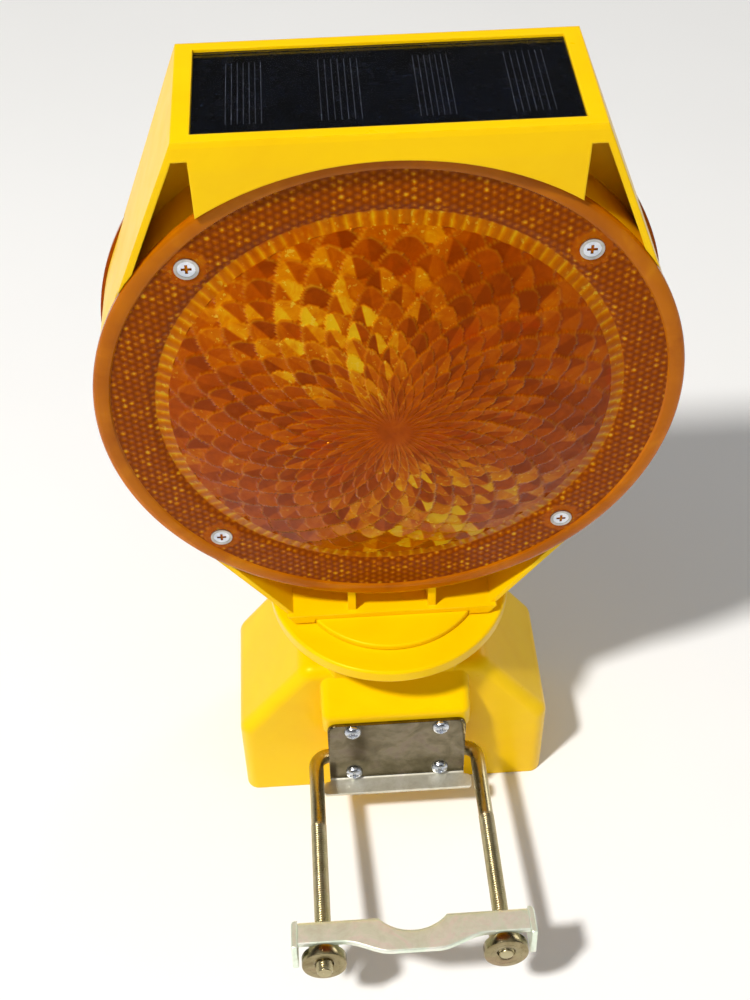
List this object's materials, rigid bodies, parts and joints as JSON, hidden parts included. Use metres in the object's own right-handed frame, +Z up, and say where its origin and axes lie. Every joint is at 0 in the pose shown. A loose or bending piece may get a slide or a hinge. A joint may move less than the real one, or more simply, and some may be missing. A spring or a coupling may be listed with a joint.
{
  "type": "barricade warning light",
  "caption": "Two-sided solar barricade lamp: swivelling head with round amber lenses on a battery base, with a sliding saddle clamp on a U-bolt.",
  "frame": {"origin": "where the head's swivel axis meets the flat underside of the base", "axes": "+Z up along the swivel axis, -Y towards the U-bolt side, X across the lenses"},
  "size_m": [0.19, 0.181, 0.313],
  "materials": {
    "yellow_plastic": "moulded, semi gloss",
    "dark_plastic": "moulded",
    "amber_lens": "clear amber with moulded lens pattern",
    "yellow_zinc": "yellow passivated zinc",
    "bracket_zinc": "yellow passivated zinc, smooth rolled sheet",
    "screw_zinc": "bright zinc",
    "seal_rubber": "soft, matt",
    "cell_sleeve": "shrink sleeve",
    "contact_brass": "sprung strip",
    "button_rubber": "matt",
    "solar_cell": "dark cells under clear sheet",
    "panel_glass": "clear",
    "lead_sheath": "flexible sheath",
    "board_green": "solder mask",
    "board_part": "moulded parts",
    "diode_clear": "clear resin"
  },
  "bodies": {
    "base": {"base_housing": "yellow_plastic", "swivel_ring": "yellow_plastic", "swivel_bushing": "dark_plastic", "ring_screws": "screw_zinc", "bottom_cover": "yellow_plastic", "cover_gasket": "seal_rubber", "cover_screws": "screw_zinc", "mounting_bracket": "bracket_zinc", "bracket_screws": "screw_zinc", "battery_holder": "dark_plastic", "battery_cells": "cell_sleeve", "battery_springs": "screw_zinc", "battery_strip": "contact_brass", "power_socket": "dark_plastic", "switch_body": "dark_plastic", "switch_nut": "screw_zinc"},
    "head": {"head_housing": "yellow_plastic", "swivel_hub": "yellow_plastic", "hub_screws": "screw_zinc", "swivel_washer": "screw_zinc", "swivel_nut": "dark_plastic", "front_lens": "amber_lens", "rear_lens": "amber_lens", "front_lens_gasket": "seal_rubber", "rear_lens_gasket": "seal_rubber", "front_lens_ferrules": "screw_zinc", "rear_lens_ferrules": "screw_zinc", "front_lens_screws": "screw_zinc", "rear_lens_screws": "screw_zinc", "panel_seal": "seal_rubber", "solar_cells": "solar_cell", "panel_cover": "panel_glass", "panel_lead": "lead_sheath", "light_board": "board_green", "board_screws": "screw_zinc", "front_diodes": "diode_clear", "rear_diodes": "diode_clear", "board_parts": "board_part", "board_connectors": "dark_plastic", "power_lead": "lead_sheath", "power_plug": "dark_plastic"},
    "button": {"switch_button": "button_rubber"},
    "u_bolt": {"u_bolt": "yellow_zinc"},
    "saddle": {"clamp_saddle": "yellow_zinc"},
    "nut_left": {"clamp_nut_left": "yellow_zinc"},
    "nut_right": {"clamp_nut_right": "yellow_zinc"}
  },
  "joints": [
    {"name": "head_swivel", "type": "hinge", "parent": "base", "child": "head", "pos_m": [0, 0, 0.1], "axis": [0, 0, 1], "continuous": true},
    {"name": "button_press", "type": "slide", "parent": "base", "child": "button", "axis": [0, -1, 0], "range_m": [0, 0.003], "stiffness_N_per_m": 400, "springref_m": -0.002},
    {"name": "u_bolt_swing", "type": "hinge", "parent": "base", "child": "u_bolt", "pos_m": [0, -0.0373, 0.0333], "axis": [-1, 0, 0], "range_deg": [-29, 60]},
    {"name": "saddle_slide", "type": "slide", "parent": "u_bolt", "child": "saddle", "axis": [0, 0.9936, -0.1132], "range_m": [0, 0.0401]},
    {"name": "nut_left_spin", "type": "hinge", "parent": "saddle", "child": "nut_left", "pos_m": [-0.03225, -0.1297, 0.04383], "axis": [0, 0.9936, -0.1132], "range_deg": [0, 14400]},
    {"name": "nut_right_spin", "type": "hinge", "parent": "saddle", "child": "nut_right", "pos_m": [0.03225, -0.1297, 0.04383], "axis": [0, 0.9936, -0.1132], "range_deg": [0, 14400]}
  ],
  "couplings": [
    {"joint": "saddle_slide", "follows": "nut_left_spin", "m_per_rad": 0.00015915},
    {"joint": "nut_right_spin", "follows": "nut_left_spin", "ratio": 1}
  ]
}
